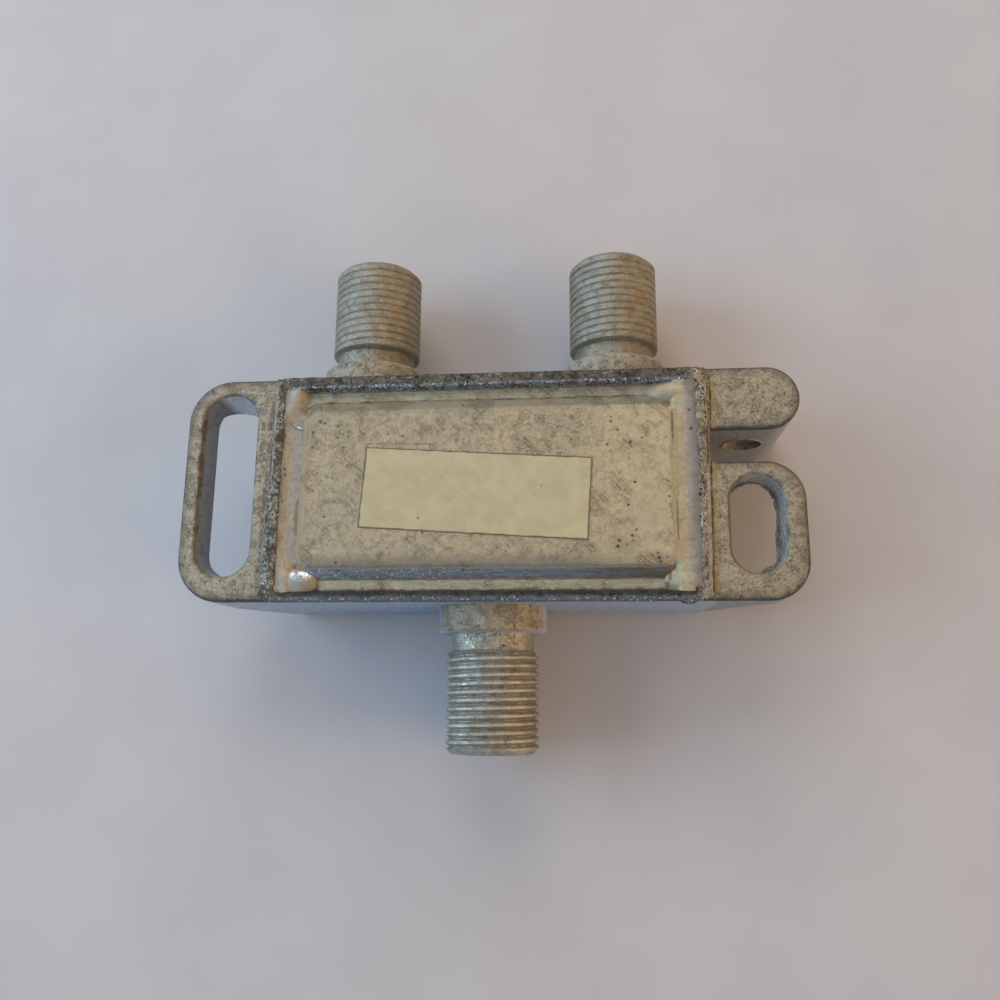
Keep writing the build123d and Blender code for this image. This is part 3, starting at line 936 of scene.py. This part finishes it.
# crust on the rim: rounded rectangles one inside the other, bridged and roughened
crustShape = {
    "loops": [                    # half length, half width, shift in Y, corner and height from the rim's top
        (22.1, 11.6, 0.0, 1.1, -0.27), (21.85, 11.64, 0.0, 1.0, -0.1), (21.6, 11.5, 0.0, 0.9, 0.03),
        (21.35, 11.2, 0.0, 0.8, 0.08), (21.1, 10.9, -0.1, 0.7, 0.08), (20.85, 10.6, -0.15, 0.6, 0.07),
        (20.74, 10.49, -0.15, 0.5, 0.0), (20.64, 10.39, -0.15, 0.45, -0.35), (20.56, 10.3, -0.15, 0.4, -0.72),
        (20.44, 10.16, -0.15, 0.4, -0.97)],
    "lean": 0.5,                  # how far the outer edge leans over the length of the ends
    "lengthCuts": 150,
    "widthCuts": 80,
    "leanFrom": 10.4 * mm,
    "leanLength": 21,
    "endBand": (21.0 * mm, 21.7 * mm),
    "outset": 0.12 * mm,
    "top": rimTop + 0.13 * mm,
}


def makeRimCrustRing():
    shape = crustShape
    loops = []
    for number, row in enumerate(shape["loops"]):
        halfLength, halfWidth, shift, corner = row[:4]
        bpy.ops.mesh.primitive_plane_add(size=2.0, location=(0, shift * mm, number * mm))
        loop = nameLast("rimLoop" + str(number))
        loop.scale = (halfLength * mm, halfWidth * mm, 1.0)
        applyPlace(loop)
        editMesh(loop)
        selectEverything()
        bpy.ops.mesh.bevel(offset=corner * mm, segments=5, affect="VERTICES")
        selectEverything("EDGE")
        bpy.ops.mesh.delete(type="ONLY_FACE")
        subdivideLong(loop, 30 * mm, shape["lengthCuts"])
        subdivideLong(loop, 15 * mm, shape["widthCuts"])
        leaveEdit()
        loops.append(loop)
    ring = joinPieces(loops, "rimCrustRing")
    bridgeLoops(ring)
    for vertex in ring.data.vertices:
        vertex.co.z = rimTop + shape["loops"][round(vertex.co.z / mm)][4] * mm
    thicken(ring, 0.15 * mm)
    finer = ring.modifiers.new("finer", "SUBSURF")
    finer.levels = 1
    finer.render_levels = 1
    cleanMesh(ring)
    applyAll(ring)
    wrinkle(ring, 1.3 * mm, 0.1 * mm)
    wrinkle(ring, 0.4 * mm, 0.1 * mm)
    for vertex in ring.data.vertices:
        share = smoothStep(abs(vertex.co.x), *shape["endBand"])
        lean = shape["lean"] * (shape["leanFrom"] - vertex.co.y) / shape["leanLength"]
        vertex.co.x += share * (shape["outset"] - lean)
        vertex.co.z = min(vertex.co.z, shape["top"])
    smoothByAngle(ring, 60)
    dress(ring, rimCrust)
    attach(ring, "case")


def subdivideLong(piece, length, cuts):
    mesh = bmesh.from_edit_mesh(piece.data)
    for edge in mesh.edges:
        edge.select = edge.calc_length() > length
    bmesh.update_edit_mesh(piece.data)
    bpy.ops.mesh.subdivide(number_cuts=cuts)


makeRimCrustRing()
print("rim crust made")


# solder beads: fine sheets whose height follows the trench, with a flow or a lobe at each corner
beadSheet = {
    "inner": 15.3 * mm,           # from the part's middle to each side of the sheet
    "outer": 21.5 * mm,
    "front": -10.95 * mm,
    "back": 10.65 * mm,
    "columns": 64,
    "rows": 216,
    "panelCorner": 1.6 * mm,
    "trench": (7.5, 8.3),         # where the panel's long sides fall to the trench
    "clear": (17.6 * mm, 7.3 * mm),
    "hidden": 12.9 * mm,
    "thickness": 0.3 * mm,
}
leftBead = {
    "name": "leftSolderBead",
    "node": "solder_seam_left",
    "side": -1,
    "section": [                  # distance from the part's middle, height
        (17.6, 13.7), (18.6, 13.6), (19.1, 13.56), (19.6, 13.58), (20.0, 13.68), (20.4, 13.84), (20.7, 13.95),
        (20.95, 13.97), (21.5, 13.8)],
    "fronts": (18.9, 19.2),       # where the fill ends along the back and the front trench
    "lobes": [                    # middle, reach inwards, back and front, foot, rise and fullness
        ((18.4, -9.75), (1.85, 1.6, 1.5), 13.05, 0.8, 0.5)],
    "lumps": [                    # middle, reach and rise of each lump or hollow
        ((-20.4, 7.6), 1.1, 0.05), ((-20.5, -3.2), 1.6, 0.05), ((-18.2, -8.9), 0.9, 0.08),
        ((-19.6, 9.8), 0.8, 0.08)],
}
rightBead = {
    "name": "rightSolderBead",
    "node": "solder_seam_right",
    "side": 1,
    "section": [
        (17.6, 14.03), (18.1, 14.06), (18.5, 14.02), (19.0, 13.94), (19.5, 13.9), (19.9, 13.9), (20.3, 13.93),
        (20.7, 13.97), (20.95, 13.97), (21.5, 13.8)],
    "fronts": (18.3, 18.3),
    "lobes": [
        ((19.0, 9.2), (3.14, 1.9, 1.5), 13.16, 0.88, 1.4), ((19.3, -9.6), (2.1, 1.6, 1.6), 13.1, 0.95, 0.7)],
    "lumps": [
        ((20.3, -2.6), 2.6, 0.06), ((19.4, -9.6), 1.3, 0.1), ((20.3, -8.2), 0.8, 0.08),
        ((20.1, 3.0), 1.2, -0.04)],
}


def sectionHeight(section, across):
    for (start, first), (end, second) in zip(section, section[1:]):
        if across <= end:
            return first + (second - first) * smoothStep(across, start, end)
    return section[-1][1]


# height of one bead at a place, in millimetres; the fill follows the rounded corner of the panel
def beadHeight(bead, across, along):
    hidden = beadSheet["hidden"] / mm
    corner = beadSheet["panelCorner"] / mm
    fromMiddle = abs(along - coverShift)
    overX = max(across - panelHalf[0] + corner, 0.0)
    overY = max(fromMiddle - panelHalf[1] + corner, 0.0)
    outward = max(across, min(panelHalf[0] - corner + hypot(overX, overY), coverHalf[0]))
    fill = sectionHeight(bead["section"], outward)
    front = bead["fronts"][0] if along > 0 else bead["fronts"][1]
    inTrench = smoothStep(fromMiddle, *beadSheet["trench"])
    ends = 1.0 - inTrench * (1.0 - smoothStep(across, front - 0.6, front + 0.5))
    height = hidden + (fill - hidden) * ends
    for (middleX, middleY), (inwards, back, ahead), foot, rise, fullness in bead["lobes"]:
        overX = max(middleX - across, 0.0) / inwards
        overY = (along - middleY) / (back if along > middleY else ahead)
        away = hypot(overX, overY)
        if away < 1.0 and across < coverHalf[0] - 0.2:
            height = max(height, foot + rise * (1.0 - away * away) ** fullness)
    return height


def makeSolderBead(bead):
    sheet = beadSheet
    bpy.ops.mesh.primitive_grid_add(x_subdivisions=sheet["columns"], y_subdivisions=sheet["rows"], size=2.0)
    piece = nameLast(bead["name"])
    piece.scale = ((sheet["outer"] - sheet["inner"]) / 2, (sheet["back"] - sheet["front"]) / 2, 1.0)
    piece.location = (bead["side"] * (sheet["outer"] + sheet["inner"]) / 2,
                      (sheet["back"] + sheet["front"]) / 2, 0.0)
    applyPlace(piece)
    for vertex in piece.data.vertices:
        vertex.co.z = beadHeight(bead, abs(vertex.co.x) / mm, vertex.co.y / mm) * mm
    for middle, reach, rise in bead["lumps"]:
        raiseAround(piece, middle, reach, rise)
    mesh = editMesh(piece)
    for vertex in mesh.verts:
        buried = vertex.co.z < sheet["hidden"] + 0.01 * mm
        onPanel = abs(vertex.co.x) < sheet["clear"][0] and abs(vertex.co.y) < sheet["clear"][1]
        vertex.select = buried or onPanel
    mesh.select_flush(True)
    mesh.select_flush(False)
    bmesh.update_edit_mesh(piece.data)
    bpy.ops.mesh.delete(type="VERT")
    leaveEdit()
    wrinkle(piece, 1.2 * mm, 0.06 * mm)
    wrinkle(piece, 0.35 * mm, 0.035 * mm)
    for vertex in piece.data.vertices:
        vertex.co.z = min(vertex.co.z, labelTop - 0.005 * mm)
    thicken(piece, sheet["thickness"])
    applyAll(piece)
    cleanMesh(piece)
    smoothByAngle(piece, 60)
    dress(piece, oldSolder)
    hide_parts(bead["node"])
    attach(piece, "case")


def raiseAround(piece, middle, reach, rise):
    for vertex in piece.data.vertices:
        away = hypot(vertex.co.x - middle[0] * mm, vertex.co.y - middle[1] * mm) / (reach * mm)
        if away < 1.0:
            vertex.co.z += rise * mm * (1 - away * away) ** 2


for bead in (leftBead, rightBead):
    makeSolderBead(bead)
print("solder beads made")


# small solder pieces: the bright wave front on the left bead and the drip over the front wall
waveShape = {
    "points": [(-21.25, 8.0, 14.05), (-20.85, 7.45, 13.99), (-20.3, 6.9, 13.84), (-19.65, 6.4, 13.64),
               (-19.1, 6.15, 13.6), (-18.7, 6.05, 13.64)],
    "widths": [0.25, 0.6, 0.8, 1.1, 1.5, 0.6],
    "thickness": 0.09 * mm,
}


def makeSolderWave():
    curve = bpy.data.curves.new("solderWave", "CURVE")
    curve.dimensions = "3D"
    curve.bevel_depth = waveShape["thickness"]
    curve.bevel_resolution = 3
    curve.use_fill_caps = True
    spline = curve.splines.new("NURBS")
    spline.points.add(len(waveShape["points"]) - 1)
    for point, place, width in zip(spline.points, waveShape["points"], waveShape["widths"]):
        point.co = (*(value * mm for value in place), 1.0)
        point.radius = width
    spline.use_endpoint_u = True
    spline.order_u = 4
    spline.resolution_u = 8
    makeActive(addToScene("solderWave", curve))
    bpy.ops.object.convert(target="MESH")
    wave = nameLast("solderWave")
    cleanMesh(wave)
    smoothByAngle(wave, 80)
    dress(wave, brightSolder)
    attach(wave, "case")


def makeLump(name, place, radii, material):
    bpy.ops.mesh.primitive_uv_sphere_add(segments=32, ring_count=20, radius=1.0,
                                         location=[value * mm for value in place])
    lump = nameLast(name)
    lump.scale = [value * mm for value in radii]
    applyPlace(lump)
    wrinkle(lump, 0.5 * mm, 0.12 * mm)
    smoothByAngle(lump, 80)
    dress(lump, material)
    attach(lump, "case")


makeSolderWave()
makeLump("solderDrip", (19.4, -11.55, 13.62), (0.8, 0.3, 0.42), rimCrust)
makeLump("solderCrumb", (20.4, -10.5, 14.0), (0.35, 0.3, 0.14), rimCrust)


# thin ragged flash that the die left on the lower edge of the short slot
flashShape = {
    "middle": (26.175 * mm, -4.2 * mm),
    "halfLength": 4.775 * mm,
    "radius": 2.525 * mm,
    "top": 10.25 * mm,
    "thickness": 0.4 * mm,
    "steps": 260,
    "seed": 4,
    "jag": 0.45,
    "rooted": 0.25 * mm,          # how far it starts inside the wall of the slot
    "reaches": [                  # share of the way round from the right, and how far the flash reaches in
        (0.0, 0.22), (0.1, 0.16), (0.2, 0.08), (0.27, 0.16), (0.36, 0.1), (0.45, 0.0), (0.7, 0.0),
        (0.76, 0.2), (0.82, 0.5), (0.87, 0.42), (0.92, 0.16), (1.0, 0.22)],
}


def slotPoint(turn, inset):
    angle = 2 * pi * turn
    radius = flashShape["radius"] - inset
    straight = flashShape["halfLength"] - flashShape["radius"]
    x = flashShape["middle"][0] + radius * cos(angle)
    y = flashShape["middle"][1] + radius * sin(angle)
    reach = max(min(sin(angle) * 6.0, 1.0), -1.0)
    return (x, y + straight * reach, flashShape["top"])


def reachAt(turn):
    reaches = flashShape["reaches"]
    for (start, first), (end, second) in zip(reaches, reaches[1:]):
        if start <= turn <= end:
            return (first + (second - first) * (turn - start) / (end - start)) * mm
    return 0.0


def makeSlotFlash():
    shape = flashShape
    randomly = random.Random(shape["seed"])
    turns = [step / shape["steps"] for step in range(shape["steps"])]
    jag = 0.0
    inner = []
    for turn in turns:
        jag = 0.6 * jag + randomly.uniform(-shape["jag"], shape["jag"])
        inner.append(slotPoint(turn, max(reachAt(turn) * (1.0 + jag), -0.05 * mm)))
    outer = [slotPoint(turn, -shape["rooted"]) for turn in turns]
    loops = [drawChain("outerLoop", outer + outer[:1]), drawChain("innerLoop", inner + inner[:1])]
    flash = joinPieces(loops, "slotFlash")
    cleanMesh(flash, 0.0002 * mm)
    bridgeLoops(flash)
    cleanMesh(flash, 0.0002 * mm)
    thicken(flash, shape["thickness"], 0.0)
    applyAll(flash)
    wrinkle(flash, 0.4 * mm, 0.1 * mm)
    dress(flash, zincCasting)
    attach(flash, "case")


makeSlotFlash()


# burr round the drilled wire hole
burrShape = {
    "place": (25.95 * mm, 5.16 * mm, 8.2 * mm),
    "radius": 1.96 * mm,
    "thickness": 0.1 * mm,
}


def makeHoleBurr():
    bpy.ops.mesh.primitive_torus_add(location=burrShape["place"], rotation=(pi / 2, 0, 0),
                                     major_segments=140, minor_segments=10,
                                     major_radius=burrShape["radius"], minor_radius=burrShape["thickness"])
    burr = nameLast("wireHoleBurr")
    applyPlace(burr)
    wrinkle(burr, 0.5 * mm, 0.35 * mm)
    wrinkle(burr, 0.2 * mm, 0.15 * mm)
    smoothByAngle(burr, 70)
    dress(burr, zincCasting)
    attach(burr, "case")


makeHoleBurr()
print("flash and burrs made")


# finishes of the carried-over pieces
def makePlainFinish(name, light, dark, grain, roughness, metallic, depth):
    material, point = newMaterial(name)
    skin = castSurface(point, tone(*light), tone(*dark), grain)
    uneven = fade(skin["Roughness"], 0.48, 0.68, roughness, roughness + 0.15)
    return finishShader(material, skin["Color"], uneven, skin["Height"], depth * mm, metallic)


# end of the node's name, material, light, dark, grain, roughness, metal and depth in millimetres
plainFinishes = [
    ("insulator", "whiteMoulding", (226, 222, 210), (206, 200, 184), 900.0, 0.42, 0.0, 0.01),
    ("contact", "tinnedBronze", (196, 184, 158), (158, 140, 108), 1800.0, 0.28, 0.9, 0.006),
    ("board", "paperLaminate", (170, 138, 84), (138, 106, 60), 1300.0, 0.5, 0.0, 0.01),
    ("core", "darkFerrite", (74, 74, 76), (46, 46, 50), 2400.0, 0.6, 0.1, 0.02),
    ("winding", "enamelledCopper", (186, 98, 52), (140, 64, 30), 1600.0, 0.22, 0.8, 0.003),
    ("resistor", "resistorLacquer", (212, 190, 150), (188, 162, 120), 1200.0, 0.35, 0.0, 0.01),
    ("capacitor", "capacitorDip", (206, 140, 64), (176, 108, 44), 1000.0, 0.4, 0.0, 0.03),
    ("screw", "platedScrew", (178, 174, 160), (124, 114, 94), 2200.0, 0.32, 0.8, 0.012),
]
dress(cadNodes["housing"], zincCasting)
dress(cadNodes["back_cover"], tinnedSteel)
dress(cadNodes["cover_label"], yellowedFilm)
for ending, *look in plainFinishes:
    material = makePlainFinish(*look)
    for node, piece in cadNodes.items():
        if node.endswith(ending):
            dress(piece, material)
print("carried-over pieces dressed")


# stage: floor, lamps and camera
studio = {
    "floorColor": tone(177, 171, 172),
    "coolGlow": (0.32, 0.47, 0.68, 1.0),     # light of the room, and of the warm corner in it
    "warmGlow": (0.60, 0.42, 0.21, 1.0),
    "glowStrength": 0.92,
    "lamps": [                    # place in metres, size, watts and tint
        ("windowSide", (-0.35, 0.03, 0.18), 0.26, 1.27, (0.55, 0.79, 1.0)),
        ("warmSide", (0.36, -0.13, 0.15), 0.26, 0.88, (1.0, 0.66, 0.34)),
        ("roomAbove", (-0.04, 0.36, 0.28), 0.3, 1.0, (1.0, 0.94, 0.86)),
    ],
}


def addFloor():
    deselectAll()
    bpy.ops.mesh.primitive_plane_add(size=2.0, location=(0, 0, 0))
    floor = nameLast("floor")
    material, point = newMaterial("paleFloor")
    weave = noise(point, 60.0, 3.0)
    color = tint(studio["floorColor"], fade(weave, 0.3, 0.7), (181, 176, 176))
    finishShader(material, color, 0.85)
    dress(floor, material)


def addLamp(name, place, size, power, lampColor):
    data = bpy.data.lights.new(name, "AREA")
    data.shape = "SQUARE"
    data.size = size
    data.energy = power
    data.color = lampColor
    lamp = addToScene(name, data)
    lamp.location = place
    lamp.rotation_euler = (-Vector(place)).to_track_quat("-Z", "Y").to_euler()


def addWorld():
    world = bpy.data.worlds.new("studio")
    bpy.context.scene.world = world
    world.use_nodes = True
    tree = world.node_tree
    direction = splitVector(tree.nodes.new("ShaderNodeTexCoord").outputs["Generated"])
    warm = times(fade(direction[0], -0.1, 0.1), fade(direction[1], -0.7, -0.3))
    glow = mixColor(warm, studio["coolGlow"], studio["warmGlow"])
    rays = tree.nodes.new("ShaderNodeLightPath")
    glow = mixColor(rays.outputs["Is Camera Ray"], glow, studio["floorColor"])
    setInputs(tree.nodes["Background"], {"Color": glow, "Strength": studio["glowStrength"]})


# the camera stands where the photograph was taken, about 10 cm above the table
photoView = {
    "place": (9.942 * mm, -20.687 * mm, 98.472 * mm),
    "turn": (12.665, 5.603, 0.426),      # tilt, yaw and roll in degrees
    "focalPixels": 888.16,               # for a picture 1000 pixels wide
    "sensorWidth": 36.0,
}


def addCamera():
    data = bpy.data.cameras.new("photoCamera")
    camera = addToScene("photoCamera", data)
    camera.location = photoView["place"]
    camera.rotation_euler = [radians(angle) for angle in photoView["turn"]]
    data.sensor_width = photoView["sensorWidth"]
    data.lens = photoView["sensorWidth"] * photoView["focalPixels"] / 1000
    data.clip_start = 0.005
    data.clip_end = 5.0
    bpy.context.scene.camera = camera


addFloor()
for lamp in studio["lamps"]:
    addLamp(*lamp)
addWorld()
addCamera()
bpy.context.scene.view_settings.view_transform = "Standard"
print("stage set")
